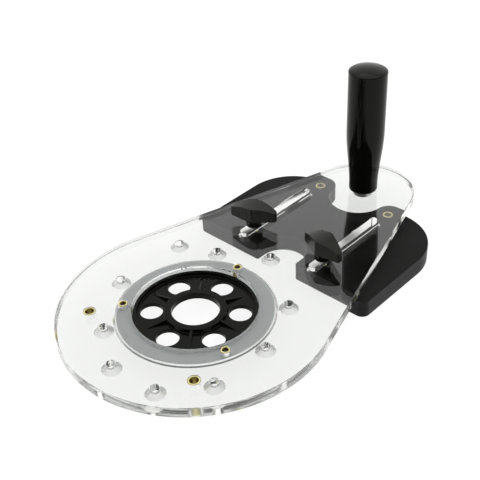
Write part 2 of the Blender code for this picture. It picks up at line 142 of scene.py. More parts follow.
# Centre insert, with heights from the plate's top
FLANGE_R = 50.4
FLANGE_TOP = -6.3
FLANGE_EDGE = 0.2
WALL_OUTER_R = 40.3
WALL_INNER_R = 38.1
WALL_TOP = -3.3
FLOOR_TOP = -5.9
HUB_R = 20.3
HUB_TOP = -3.1
INSERT_SOFT = 0.45
INSERT_FILLET = 0.6
CENTRE_HOLE_R = 15.6
BUSH_SEAT_R = 17.6
BUSH_SEAT_DEEP = 0.8
BUSH_SEAT_EDGE = 0.3
WINDOW_R = 7.4
WINDOW_EDGE = 0.3
WINDOW_RING_R = 28.7
WINDOW_START = 8
WINDOWS = 6
RING_FIXINGS = 3
RING_SINK_R = 3.55
RING_SCREW_HOLE_R = 1.8

# Gussets: let into the hub and the floor, with a short flat crest and a low tip
GUSSET_THICK = 2.0
GUSSET_REACH_R = 34.0
GUSSET_IN_HUB = 1.0
GUSSET_IN_FLOOR = 0.5
GUSSET_CREST = 0.6
GUSSET_TIP = 0.05
GUSSET_EDGE = 0.25

# Grip, where the waist's ends and the top of its socket are heights from the plate's top
GRIP_TOP_R = 13.8
GRIP_WAIST_R = 10.6
GRIP_DOME = 2.6
GRIP_SHOULDER_R = 0.9
GRIP_FOOT_ROUND = 2.0
WAIST_LOW = 4.0
WAIST_HIGH = 50.0
GRIP_SOCKET_R = 4.8
GRIP_SOCKET_TOP = 20.6
GRIP_SOCKET_CONE = 2.0
GRIP_SOCKET_EDGE = 0.3

# Edge guide's left half, with X from the ring's centre
FRONT_X = 77.7
FRONT_NOTCH_X = 84.7
FRONT_NOTCH_R = 17.1
NOTCH_CORNER_R = 1.5
FRONT_CORNER_R = 6.0
SIDE_Y = 75.6
REAR_X = 178.6
LOBE_R = 38.3
EAR_R = 10.3
EAR_Y = 31.4
REAR_NOTCH_X = 171.2

# Edge guide's rounded edges, and the seam between its boards
GUIDE_LOW_ROUND = 0.5
GUIDE_HIGH_ROUND = 0.6
SEAM_HALF = 0.12
SEAM_DEEP = 0.2

# Wing knobs, with heights from the plate's top
KNOB_LOW = 1.6
WING_LOW = 6.4
KNOB_TOP = 17.3
ARCH_R = 36.0
KNOB_FOOT_R = 5.0
KNOB_COLLAR_R = 6.6
KNOB_BORE_R = 2.8
KNOB_PITCH = 0.8
WING_HALF = [(7.7, 0.4), (1.9, 17.0), (-1.9, 17.0)]
WING_CORNER_R = 1.6
WING_EDGE = 0.5
WASHER_SOFT = 0.3
KNOB_TURNS = {"left": 22.0, "right": -10.0}

# Brass inserts as (bore's radius, pitch)
RING_INSERT = (1.8, 0.5)
PLATE_INSERT = (2.6, 0.8)
GRIP_INSERT = (3.3, 1.0)
GUIDE_INSERTS = {"front": (2.8, KNOB_PITCH), "rear": (2.25, KNOB_PITCH)}

# Countersunk screws, with the width and depth of their hexagon sockets
RING_SCREW = {"head_r": 3.25, "shank_r": 1.5, "pitch": 0.5, "across": 2.0, "drive_deep": 0.9}
GRIP_SCREW = {"head_r": 6.6, "shank_r": 3.0, "pitch": 1.0, "across": 4.0, "drive_deep": 2.6}


class Spot:
    """Where a CAD node is: its middle, its lowest and highest point and its radius, in millimetres."""

    def __init__(self, node):
        low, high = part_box(node)
        self.x = (low.x + high.x) / 2 / MM
        self.y = (low.y + high.y) / 2 / MM
        self.at = (self.x, self.y)
        self.low = low.z / MM
        self.high = high.z / MM
        self.radius = (high.y - low.y) / 2 / MM


def set_inputs(node, values):
    for name, value in values.items():
        node.inputs[name].default_value = value
    return node


def ramp(tree, fac, low, high, start, end):
    """A value from one number to another as the input runs between two limits."""
    node = tree.nodes.new("ShaderNodeMapRange")
    set_inputs(node, {"From Min": start, "From Max": end, "To Min": low, "To Max": high})
    tree.links.new(fac, node.inputs["Value"])
    return node.outputs["Result"]


def place_of(tree, stretch=(1, 1, 1), shift=(0, 0, 0)):
    """The object's own coordinates, stretched, and moved by millimetres."""
    place = tree.nodes.new("ShaderNodeTexCoord")
    mapping = tree.nodes.new("ShaderNodeMapping")
    set_inputs(mapping, {"Scale": stretch, "Location": [value * MM for value in shift]})
    tree.links.new(place.outputs["Object"], mapping.inputs["Vector"])
    return mapping.outputs["Vector"]


def noise(tree, scale, detail=4.0, stretch=(1, 1, 1)):
    made = set_inputs(tree.nodes.new("ShaderNodeTexNoise"), {"Scale": scale, "Detail": detail})
    tree.links.new(place_of(tree, stretch), made.inputs["Vector"])
    return made.outputs["Fac"]


def rings(tree, centre, scale, distortion):
    """Turning marks: waves around an upright axis through a point given in millimetres."""
    made = tree.nodes.new("ShaderNodeTexWave")
    made.wave_type = "RINGS"
    made.rings_direction = "Z"
    set_inputs(made, {"Scale": scale, "Distortion": distortion})
    tree.links.new(place_of(tree, shift=(-centre[0], -centre[1], 0)), made.inputs["Vector"])
    return made.outputs["Fac"]


def bump(tree, shader, height, strength, distance):
    node = set_inputs(tree.nodes.new("ShaderNodeBump"), {"Strength": strength, "Distance": distance * MM})
    tree.links.new(height, node.inputs["Height"])
    tree.links.new(node.outputs["Normal"], shader.inputs["Normal"])


def patchy(tree, shader, scale, smooth, rough, start=0.3, end=0.7):
    """Roughness that wanders between two values in patches."""
    patches = ramp(tree, noise(tree, scale), smooth, rough, start, end)
    tree.links.new(patches, shader.inputs["Roughness"])


def tint(tree, shader, fac, first, second):
    """Colour that wanders between two tones."""
    mix = tree.nodes.new("ShaderNodeMix")
    mix.data_type = "RGBA"
    colours = [socket for socket in mix.inputs if socket.type == "RGBA"]
    colours[0].default_value = (*first, 1.0)
    colours[1].default_value = (*second, 1.0)
    tree.links.new(fac, mix.inputs[0])
    result = [socket for socket in mix.outputs if socket.type == "RGBA"][0]
    tree.links.new(result, shader.inputs["Base Color"])


def new_look(name, colour, roughness, **values):
    look = bpy.data.materials.new(name)
    look.use_nodes = True
    shader = look.node_tree.nodes["Principled BSDF"]
    set_inputs(shader, {"Base Color": (*colour, 1.0), "Roughness": roughness})
    set_inputs(shader, {title.replace("_", " "): value for title, value in values.items()})
    look.diffuse_color = (*colour, 1.0)
    return look, look.node_tree, shader


def clear_look(name, colour, roughness, clear=1.0):
    return new_look(name, colour, roughness, Transmission_Weight=clear, IOR=ACRYLIC_IOR)


def polished_acrylic():
    # The grey tint is partly the acrylic's own and partly painted shade: it dims the glowing floor seen
    # through the plate, as the plate's shadow would.
    look, tree, shader = clear_look("polished_acrylic", (0.865, 0.875, 0.86), 0.0)
    patchy(tree, shader, 9.0, smooth=0.0, rough=0.02, start=0.45, end=0.75)
    return look


def machined_acrylic(name, colour, roughness):
    """A wall as the cutter leaves it, with fine marks: clear, or near black where a wall carries painted
    shade.
    """
    look, tree, shader = clear_look(name, colour, roughness)
    bump(tree, shader, noise(tree, 900.0, stretch=(1, 1, 4)), strength=0.08, distance=0.05)
    return look


def frosted_acrylic(name, colour, roughness, clear):
    """A cut face where the tool leaves a white bloom."""
    look, tree, shader = clear_look(name, colour, roughness, clear)
    marks = rings(tree, Spot("centre_insert").at, scale=260.0, distortion=1.5)
    bump(tree, shader, marks, strength=0.35, distance=0.05)
    return look


def board_plastic(name, roughness, gloss, grain):
    """The guide's board: a fine grain on its faces, smoother where it was cut."""
    look, tree, shader = new_look(name, (0.0095, 0.0095, 0.0092), roughness, Specular_IOR_Level=gloss)
    patchy(tree, shader, 45.0, smooth=roughness - 0.05, rough=roughness + 0.07)
    bump(tree, shader, noise(tree, 1500.0, detail=3.0), strength=grain, distance=0.05)
    return look


def moulded_plastic(name, colour, roughness, gloss, grain):
    """Plastic as it leaves the mould, a little patchy and with a fine grain."""
    look, tree, shader = new_look(name, colour, roughness, Specular_IOR_Level=gloss)
    shader.inputs["Specular Tint"].default_value = OLIVE_SHEEN
    patchy(tree, shader, 80.0, smooth=roughness - 0.03, rough=roughness + 0.03)
    bump(tree, shader, noise(tree, 1800.0, detail=3.0), strength=grain, distance=0.04)
    return look


def gloss_plastic():
    look, tree, shader = new_look("gloss_plastic", (0.003, 0.003, 0.0026), 0.09, Specular_IOR_Level=0.14)
    shader.inputs["Specular Tint"].default_value = OLIVE_SHEEN
    patchy(tree, shader, 90.0, smooth=0.06, rough=0.13)
    bump(tree, shader, noise(tree, 25.0, detail=2.0), strength=0.05, distance=0.2)
    return look


def turned_brass(name, colour, worn):
    look, tree, shader = new_look(name, colour, 0.2, Metallic=1.0)
    tint(tree, shader, ramp(tree, noise(tree, 300.0), 0.0, 1.0, 0.35, 0.7), colour, worn)
    patchy(tree, shader, 500.0, smooth=0.14, rough=0.28)
    return look


def steel(name, colour, roughness, spread, metallic):
    look, tree, shader = new_look(name, colour, roughness, Metallic=metallic)
    patchy(tree, shader, 400.0, smooth=roughness - spread, rough=roughness + spread)
    return look


def floor_look():
    look, _, shader = new_look("white_floor", (0.15, 0.15, 0.15), 0.9, Emission_Strength=FLOOR_GLOW)
    shader.inputs["Emission Color"].default_value = (1, 1, 1, 1)
    return look


def make_looks():
    dish = (0.004, 0.004, 0.0036)
    return {
        "polished": polished_acrylic(),
        "rim": machined_acrylic("rim_acrylic", (0.93, 0.935, 0.895), 0.15),
        "machined": machined_acrylic("machined_acrylic", (0.95, 0.955, 0.945), 0.03),
        "milled": machined_acrylic("milled_acrylic", (0.97, 0.97, 0.96), 0.3),
        # Near-black tint for the outer face of the groove around the rebate: painted shade
        "painted_shade": machined_acrylic("painted_shade_acrylic", (0.022, 0.024, 0.024), 0.3),
        "frosted": frosted_acrylic("frosted_acrylic", (0.91, 0.945, 0.955), 0.45, clear=0.5),
        "sunk": frosted_acrylic("sunk_acrylic", (0.86, 0.865, 0.85), 0.5, clear=0.8),
        "board_face": board_plastic("board_face", 0.55, gloss=0.07, grain=0.35),
        "board_cut": board_plastic("board_cut", 0.42, gloss=0.13, grain=0.2),
        "moulded": moulded_plastic("moulded_plastic", (0.008, 0.008, 0.0068), 0.26, gloss=0.19, grain=0.05),
        "dish": moulded_plastic("dish_plastic", dish, 0.17, gloss=0.085, grain=0.05),
        "gloss": gloss_plastic(),
        "brass": turned_brass("turned_brass", (0.74, 0.68, 0.38), worn=(0.58, 0.51, 0.22)),
        # Darker brass for the bores, both tones darkened: painted shade inside the holes
        "shaded_bore": turned_brass("shaded_bore_brass", (0.45, 0.38, 0.13), worn=(0.22, 0.17, 0.05)),
        "steel": steel("plated_steel", (0.66, 0.66, 0.67), 0.28, spread=0.08, metallic=1.0),
        "black_steel": steel("blackened_steel", (0.05, 0.05, 0.052), 0.35, spread=0.07, metallic=0.8),
    }


def arc(centre, radius, start, end, steps):
    x, y = centre
    angles = [math.radians(start + (end - start) * i / steps) for i in range(steps + 1)]
    return [(x + radius * math.cos(a), y + radius * math.sin(a)) for a in angles]


def around(centre, radius, angle):
    turn = math.radians(angle)
    return centre[0] + radius * math.cos(turn), centre[1] + radius * math.sin(turn)


def rounded(corners, radius, steps):
    """A closed outline through these corners, each one rounded by an arc within half of its sides."""
    outline = []
    for i, (x, y) in enumerate(corners):
        before = corners[i - 1]
        after = corners[(i + 1) % len(corners)]
        back = math.atan2(before[1] - y, before[0] - x)
        ahead = math.atan2(after[1] - y, after[0] - x)
        half = ((ahead - back + math.pi) % (2 * math.pi) - math.pi) / 2
        room = 0.45 * min(math.dist(before, (x, y)), math.dist(after, (x, y)))
        reach = min(radius / abs(math.tan(half)), room)
        fillet = reach * abs(math.tan(half))
        middle = back + half
        away = math.hypot(reach, fillet)
        centre = (x + away * math.cos(middle), y + away * math.sin(middle))
        turn = math.copysign(math.pi - abs(2 * half), -half)
        first = middle + math.pi - turn / 2
        outline += arc(centre, fillet, math.degrees(first), math.degrees(first + turn), steps)
    return outline


def add(name, data):
    made = bpy.data.objects.new(name, data)
    bpy.context.scene.collection.objects.link(made)
    return made


def add_mesh(name, mesh, looks):
    for look in looks:
        mesh.materials.append(look)
    return add(name, mesh)


def stand_up(name, shape, looks):
    """Ends a bmesh that was made in millimetres: metres, outward normals, one object."""
    bmesh.ops.scale(shape, verts=shape.verts, vec=(MM, MM, MM))
    bmesh.ops.recalc_face_normals(shape, faces=shape.faces)
    mesh = bpy.data.meshes.new(name)
    shape.to_mesh(mesh)
    shape.free()
    return add_mesh(name, mesh, looks)


def on_rows(radius, change):
    """Limits a change of radius by height and angle to the rows of one radius."""

    def wave(at_radius, height, angle):
        return change(height, angle) if abs(at_radius - radius) <= SAME_ROW else 0.0

    return wave


def thread(radius, pitch, deep):
    """A screw thread cut into a shaft, or outwards from a bore where its depth is negative."""

    def change(height, angle):
        turns = (height / pitch - angle / (2 * math.pi)) % 1.0
        return -deep * abs(2 * turns - 1)

    return on_rows(radius, change)


def knurl(radius, teeth, deep, lean):
    """A slanted knurl."""

    def change(height, angle):
        return -deep * (0.5 + 0.5 * math.cos(teeth * angle + lean * height))

    return on_rows(radius, change)


def rows(radius, start, end, step):
    """Profile points from one height to the other, close enough to carry a thread or a knurl."""
    count = max(1, round(abs(end - start) / step))
    return [(radius, start + (end - start) * i / count) for i in range(count + 1)]


def band(shape, first, second):
    """Faces between two closed rows of points, with three corners where a row is a point."""
    faces = []
    for k in range(len(first)):
        after = (k + 1) % len(first)
        corners = dict.fromkeys((first[k], second[k], second[after], first[after]))
        faces.append(shape.faces.new(list(corners)))
    return faces


def lathe(name, profile, at, looks, steps=SMALL, stretch_looks=None, waves=()):
    """A turned solid from (radius, height) points, down the outside and up inside.

    It starts and ends on the axis, or closes on itself around a bore. stretch_looks gives each stretch of
    the profile its place in looks, and waves change the radius by height and angle.
    """
    shape = bmesh.new()
    columns = []
    for radius, height in profile:
        if radius == 0:
            columns.append([shape.verts.new((*at, height))] * steps)
            continue
        ring = []
        for k in range(steps):
            angle = 2 * math.pi * k / steps
            reach = radius + sum(wave(radius, height, angle) for wave in waves)
            ring.append(shape.verts.new((*around(at, reach, math.degrees(angle)), height)))
        columns.append(ring)
    solid = profile[0][0] == 0 and profile[-1][0] == 0
    for i in range(len(profile) - 1 if solid else len(profile)):
        for face in band(shape, columns[i], columns[(i + 1) % len(profile)]):
            face.material_index = stretch_looks[i] if stretch_looks else 0
    return stand_up(name, shape, looks)


def loft(name, loops, looks):
    """Joins flat loops of equal length, each (points, height), from the lowest to the highest."""
    shape = bmesh.new()
    layers = [[shape.verts.new((x, y, z)) for x, y in points] for points, z in loops]
    for lower, upper in zip(layers, layers[1:]):
        for k in range(len(lower)):
            after = (k + 1) % len(lower)
            shape.faces.new((lower[k], lower[after], upper[after], upper[k]))
    shape.faces.new(list(reversed(layers[0])))
    shape.faces.new(layers[-1])
    return stand_up(name, shape, looks)


def rounded_wall(outline, low, high, low_round, high_round, steps):
    """Loops up a wall with both its edges rounded. outline(inset) gives the points."""
    loops = []
    turns = [math.pi / 2 * i / steps for i in range(steps + 1)]
    for a in turns:
        loops.append((outline(low_round * (1 - math.sin(a))), low + low_round * (1 - math.cos(a))))
    for a in turns:
        loops.append((outline(high_round * (1 - math.cos(a))), high - high_round * (1 - math.sin(a))))
    return loops


def chamfered_wall(outline, low, high, low_cut, high_cut):
    """Loops up a wall with both its edges cut at 45 degrees."""
    return [
        (outline(low_cut), low),
        (outline(0), low + low_cut),
        (outline(0), high - high_cut),
        (outline(high_cut), high),
    ]


def mouth(radius, edge, level, above):
    """The upper end of a cutter's profile, which also takes the edge off its hole."""
    return [(0, above), (radius + edge, above), (radius + edge, level), (radius, level - edge)]


def countersink(radius, sink_r, level):
    """The lower end of a cutter's profile, a cone of 90 degrees that opens downwards."""
    return [(radius, level + sink_r - radius), (sink_r + PAST, level - PAST), (0, level - PAST)]


def drill(at, radius, low, high, look):
    """A plain round cutter."""
    return lathe("cut", [(0, high), (radius, high), (radius, low), (0, low)], at, [look])


def apply(piece):
    """Makes a piece's modifiers part of its mesh."""
    bpy.context.view_layer.update()
    graph = bpy.context.evaluated_depsgraph_get()
    mesh = bpy.data.meshes.new_from_object(piece.evaluated_get(graph))
    piece.modifiers.clear()
    piece.data = mesh
    mesh.name = piece.name
    return piece


def boolean(piece, other, operation="DIFFERENCE"):
    """Cuts or joins in the mesh itself. The other object's looks come along, and it is removed."""
    step = piece.modifiers.new("step", "BOOLEAN")
    step.solver = "EXACT"
    step.operation = operation
    step.material_mode = "TRANSFER"
    step.object = other
    apply(piece)
    bpy.data.objects.remove(other, do_unlink=True)


def gathered(name, parts):
    """Several closed shapes as one object."""
    shape = bmesh.new()
    looks = []
    for part in parts:
        for look in part.data.materials:
            if look not in looks:
                looks.append(look)
        order = [looks.index(look) for look in part.data.materials]
        before = len(shape.faces)
        shape.from_mesh(part.data)
        shape.faces.ensure_lookup_table()
        for face in shape.faces[before:]:
            face.material_index = order[face.material_index]
        bpy.data.objects.remove(part, do_unlink=True)
    mesh = bpy.data.meshes.new(name)
    shape.to_mesh(mesh)
    shape.free()
    return add_mesh(name, mesh, looks)


def bevel(piece, width, segments):
    soft = piece.modifiers.new("soft edges", "BEVEL")
    soft.width = width * MM
    soft.segments = segments
    soft.limit_method = "ANGLE"
    soft.angle_limit = math.radians(BEVEL_ANGLE)
    return apply(piece)


def mark_walls(piece):
    """Gives a piece's upright and sloping faces its second look."""
    for face in piece.data.polygons:
        face.material_index = 0 if abs(face.normal.z) > LEVEL else 1


def dress(piece, body, slot, *nodes):
    """Shades a piece smooth between its sharp edges and puts it in place of its CAD nodes."""
    piece.data.shade_smooth()
    piece.data.set_sharp_from_angle(angle=math.radians(SHARP_ANGLE))
    even = piece.modifiers.new("even shading", "WEIGHTED_NORMAL")
    even.keep_sharp = True
    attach(piece, body)
    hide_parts(*nodes)


def plate_levels():
    plate = Spot("base_plate")
    return plate.low, plate.high


def plate_outline(inset):
    """A wide round end and a narrow one, joined by tangents and drawn in by an inset."""
    ring, grip = Spot("centre_insert"), Spot("handle_grip")
    tangent = math.degrees(math.acos((RING_END_R - GRIP_END_R) / (grip.x - ring.x)))
    wide = arc(ring.at, RING_END_R - inset, tangent, 360 - tangent, 2 * FINE)
    return wide + arc(grip.at, GRIP_END_R - inset, -tangent, tangent, FINE)


def ring_cutter(looks, at):
    """The ring's opening and the rebate below it, which has a frosted ceiling."""
    low, high = plate_levels()
    ceiling = low + REBATE_DEEP
    profile = mouth(RING_HOLE_R, TOP_EDGE, high, high + PAST)
    profile += [(RING_HOLE_R, ceiling), (REBATE_R, ceiling), (REBATE_R, low - PAST), (0, low - PAST)]
    walls = [looks["machined"], looks["frosted"]]
    return lathe("cut", profile, at, walls, 2 * FINE, stretch_looks=[0, 0, 0, 0, 1, 0, 0])


def painted_shade_cutter(looks, at):
    """A V groove in the plate's underside, close around the rebate, with painted shade on its outer face: a
    near-black tint.
    """
    low = plate_levels()[0]
    inner, apex, outer = SHADE_GROOVE_R
    profile = [
        (outer, low),
        (outer, low - PAST),
        (inner, low - PAST),
        (inner, low),
        (apex, low + SHADE_GROOVE_DEEP),
    ]
    # The outer face gets the near-black tint, a painted shade line
    walls = [looks["milled"], looks["painted_shade"]]
    return lathe("cut", profile, at, walls, 2 * FINE, stretch_looks=[0, 0, 0, 0, 1])


def sunk_cutter(looks, at, hole_r, sink_r):
    """A screw hole through the plate, with a frosted countersink below."""
    low, high = plate_levels()
    profile = mouth(hole_r, TOP_EDGE, high, high + PAST) + countersink(hole_r, sink_r, low)
    walls = [looks["machined"], looks["sunk"]]
    return lathe("cut", profile, at, walls, stretch_looks=[0, 0, 0, 0, 1, 1])


def slot_cutter(looks, front, rear):
    """A slot that opens downwards in a chamfer. Its far wall and its rear chamfer are rougher."""
    low, high = plate_levels()

    def outline(grow):
        half = SLOT_WIDE / 2 + grow
        return arc(rear, half, -90, 90, steps=20) + arc(front, half, 90, 270, steps=20)

    loops = [
        (outline(SLOT_CHAMFER + PAST), low - PAST),
        (outline(0), low + SLOT_CHAMFER),
        (outline(0), high - TOP_EDGE),
        (outline(TOP_EDGE), high),
        (outline(TOP_EDGE), high + PAST),
    ]
    cutter = loft("cut", loops, [looks["machined"], looks["milled"]])
    for face in cutter.data.polygons:
        far_wall = face.normal.y > 0.99
        rear_chamfer = face.normal.x > 0.15 and 0.3 < face.normal.z < LEVEL
        face.material_index = 1 if far_wall or rear_chamfer else 0
    return cutter


def make_plate(looks):
    """The clear plate. The ring is cut first and alone, since overlapping cutters spoil one another."""
    low, high = plate_levels()
    ring, grip = Spot("centre_insert"), Spot("handle_grip")
    loops = chamfered_wall(plate_outline, low, high, RIM_CHAMFER, TOP_EDGE)
    plate = loft("clear_plate", loops, [looks["polished"], looks["rim"]])
    mark_walls(plate)
    boolean(plate, ring_cutter(looks, ring.at))
    boolean(plate, painted_shade_cutter(looks, ring.at))

    cutters = []
    for radius, angle in THREE_HOLE_PATTERN + FOUR_HOLE_PATTERN + ODD_HOLES:
        at = around(ring.at, radius, angle)
        cutters.append(sunk_cutter(looks, at, ROUTER_HOLE_R, ROUTER_SINK_R))
    cutters.append(sunk_cutter(looks, grip.at, GRIP_HOLE_R, GRIP_SINK_R))

    inserts = [f"ring_insert_{i + 1}" for i in range(RING_FIXINGS)]
    for node in inserts + [f"plate_insert_{side}" for side in SIDES]:
        spot = Spot(node)
        cutters.append(drill(spot.at, spot.radius + GAP, low - PAST, high + PAST, looks["machined"]))

    for side in SIDES:
        y = Spot(f"knob_washer_{side}").y
        front = (ring.x + SLOT_FRONT + SLOT_WIDE / 2, y)
        rear = (ring.x + SLOT_REAR - SLOT_WIDE / 2, y)
        cutters.append(slot_cutter(looks, front, rear))

    boolean(plate, gathered("cutters", cutters))
    dress(plate, "base", "clear_acrylic", "base_plate")


def insert_profile():
    """Down the outside over wall and flange, and up inside over bush seat, hub and floor."""
    low, high = plate_levels()
    seat = low + BUSH_SEAT_DEEP
    wall, floor, hub, flange = (high + level for level in (WALL_TOP, FLOOR_TOP, HUB_TOP, FLANGE_TOP))
    soft, fillet = INSERT_SOFT, INSERT_FILLET

    def corner(radius, height, start):
        return arc((radius, height - soft), soft, start, start - 90, CORNER)

    return (
        corner(WALL_OUTER_R - soft, wall, 90)
        + [(WALL_OUTER_R, flange)]
        + corner(FLANGE_R - soft, flange, 90)
        + [(FLANGE_R, low + FLANGE_EDGE), (FLANGE_R - FLANGE_EDGE, low)]
        + [(BUSH_SEAT_R + BUSH_SEAT_EDGE, low), (BUSH_SEAT_R, low + BUSH_SEAT_EDGE)]
        + [(BUSH_SEAT_R, seat), (CENTRE_HOLE_R, seat)]
        + corner(CENTRE_HOLE_R + soft, hub, 180)
        + corner(HUB_R - soft, hub, 90)
        + arc((HUB_R + fillet, floor + fillet), fillet, 180, 270, CORNER)
        + arc((WALL_INNER_R - fillet, floor + fillet), fillet, 270, 360, CORNER)
        + corner(WALL_INNER_R + soft, wall, 180)[:-1]
    )


def gusset(look, at, angle, floor, crest):
    """A web that slopes from the hub down to the floor, turned around the insert's axis."""
    shape = bmesh.new()
    half = GUSSET_THICK / 2
    side = [
        (HUB_R - GUSSET_IN_HUB, floor - GUSSET_IN_FLOOR),
        (GUSSET_REACH_R, floor - GUSSET_IN_FLOOR),
        (GUSSET_REACH_R, floor + GUSSET_TIP),
        (HUB_R + GUSSET_CREST, crest),
        (HUB_R - GUSSET_IN_HUB, crest),
    ]
    near, far = ([shape.verts.new((x, y, z)) for x, z in side] for y in (-half, half))
    shape.faces.new(near)
    shape.faces.new(list(reversed(far)))
    band(shape, near, far)
    shape.transform(Matrix.Translation((*at, 0)) @ Matrix.Rotation(math.radians(angle), 4, "Z"))
    return bevel(stand_up("gusset", shape, [look]), GUSSET_EDGE, segments=2)


def make_centre_insert(looks):
    """The dished black insert, with its gussets, windows and screw holes."""
    low, high = plate_levels()
    floor, hub, flange = (high + level for level in (FLOOR_TOP, HUB_TOP, FLANGE_TOP))
    spot = Spot("centre_insert")
    look = looks["dish"]
    insert = lathe("black_insert", insert_profile(), spot.at, [look], FINE)

    gussets = []
    cutters = []
    pitch = 360 / WINDOWS
    for i in range(WINDOWS):
        angle = WINDOW_START + i * pitch
        gussets.append(gusset(look, spot.at, angle + pitch / 2, floor, hub - INSERT_SOFT))
        profile = mouth(WINDOW_R, WINDOW_EDGE, floor, high) + [(WINDOW_R, low - PAST), (0, low - PAST)]
        cutters.append(lathe("cut", profile, around(spot.at, WINDOW_RING_R, angle), [look], MEDIUM))
    for i in range(RING_FIXINGS):
        profile = [(0, flange + PAST), (RING_SCREW_HOLE_R, flange + PAST)]
        profile += countersink(RING_SCREW_HOLE_R, RING_SINK_R, low)
        cutters.append(lathe("cut", profile, Spot(f"ring_screw_{i + 1}").at, [look]))
    boolean(insert, gathered("gussets", gussets), "UNION")
    boolean(insert, gathered("cutters", cutters))
    dress(insert, "base", "black_satin_plastic", "centre_insert")


def make_brass_insert(looks, node, body, bore_r, pitch):
    """A press-in insert: two knurled bands, a groove between them and a threaded bore."""
    spot = Spot(node)
    radius = spot.radius
    groove = 0.12 * radius
    half_groove = (spot.high - spot.low) / 10
    middle = (spot.high + spot.low) / 2
    soft = 0.25
    lead = 0.05
    step = 0.3
    mouth_wide = 0.25 * (radius - bore_r)
    profile = (
        [(radius - soft, spot.high), (radius - SHY, spot.high - soft)]
        + rows(radius, spot.high - soft - lead, middle + half_groove + groove, step)
        + [(radius - groove, middle + half_groove), (radius - groove, middle - half_groove)]
        + rows(radius, middle - half_groove - groove, spot.low + soft + lead, step)
        + [(radius - SHY, spot.low + soft), (radius - soft, spot.low)]
        + [(bore_r + mouth_wide, spot.low)]
        + rows(bore_r, spot.low + mouth_wide, spot.high - mouth_wide, pitch / 4)
        + [(bore_r + mouth_wide, spot.high)]
    )
    # The bore has the darker brass, painted shade inside the hole, apart from the last stretch, which
    # closes the flat top
    stretch_looks = [1 if reach <= bore_r + mouth_wide else 0 for reach, _ in profile]
    stretch_looks[-1] = 0
    waves = [
        knurl(radius, teeth=28, deep=0.05 * radius, lean=2.5),
        thread(bore_r, pitch, -THREAD_DEEP * pitch),
    ]
    walls = [looks["brass"], looks["shaded_bore"]]
    piece = lathe(f"{node}_brass", profile, spot.at, walls, MEDIUM, stretch_looks, waves)
    dress(piece, body, "brass", node)


def hexagon(centre, across):
    return [around(centre, across / math.sqrt(3), 60 * k) for k in range(6)]


def make_sunk_screw(looks, node, steel_look, head_r, shank_r, pitch, across, drive_deep):
    """A countersunk screw with its head down, a hexagon socket in it and a real thread."""
    spot = Spot(node)
    rim = 0.3
    soft = 0.1
    tip = 0.6
    lead = 0.5
    neck = 0.6
    runout = 0.4
    cone_top = spot.low + rim + head_r - shank_r
    profile = (
        [(0, spot.high), (shank_r - tip, spot.high)]
        + rows(shank_r, spot.high - lead, cone_top + neck + runout, pitch / 4)
        + [(shank_r - SHY, cone_top + neck), (shank_r - SHY, cone_top)]
        + [(head_r, spot.low + rim), (head_r, spot.low + soft), (head_r - soft, spot.low), (0, spot.low)]
    )
    look = looks[steel_look]
    waves = [thread(shank_r, pitch, THREAD_DEEP * pitch)]
    screw = lathe(f"{node}_steel", profile, spot.at, [look], waves=waves)
    loops = [(hexagon(spot.at, across), spot.low + z) for z in (-PAST, drive_deep)]
    boolean(screw, loft("socket", loops, [look]))
    dress(screw, "base", "steel", node)


def grip_profile(low, high):
    """A domed top, a straight upper half, and a waist that eases down to a rounded foot."""
    plate_top = plate_levels()[1]
    dome_r = (GRIP_TOP_R**2 + GRIP_DOME**2) / (2 * GRIP_DOME)
    spread = math.degrees(math.asin(GRIP_TOP_R / dome_r))
    dome_stop = 2.5
    shoulder_start = 68
    shoulder_drop = 0.4 + GRIP_SHOULDER_R / 2
    top = arc((0, high - dome_r), dome_r, 90, 90 - spread + dome_stop, steps=12)
    top[0] = (0, high)
    shoulder_at = (GRIP_TOP_R - GRIP_SHOULDER_R, high - GRIP_DOME - shoulder_drop)
    shoulder = arc(shoulder_at, GRIP_SHOULDER_R, shoulder_start, 0, steps=6)
    steps = 32
    waist = []
    for i in range(steps + 1):
        ease = (1 + math.cos(math.pi * i / steps)) / 2
        height = plate_top + WAIST_HIGH + (WAIST_LOW - WAIST_HIGH) * i / steps
        waist.append((GRIP_WAIST_R + (GRIP_TOP_R - GRIP_WAIST_R) * ease, height))
    foot_at = (GRIP_WAIST_R - GRIP_FOOT_ROUND, low + GRIP_FOOT_ROUND)
    foot = arc(foot_at, GRIP_FOOT_ROUND, 0, -90, steps=8)
    socket = [
        (GRIP_SOCKET_R + GRIP_SOCKET_EDGE, low),
        (GRIP_SOCKET_R, low + GRIP_SOCKET_EDGE),
        (GRIP_SOCKET_R, plate_top + GRIP_SOCKET_TOP),
        (0, plate_top + GRIP_SOCKET_TOP + GRIP_SOCKET_CONE),
    ]
    return top + shoulder + waist + foot + socket


def make_grip(looks):
    spot = Spot("handle_grip")
    grip = lathe("turned_grip", grip_profile(spot.low, spot.high), spot.at, [looks["gloss"]], MEDIUM)
    dress(grip, "base", "black_gloss_plastic", "handle_grip")


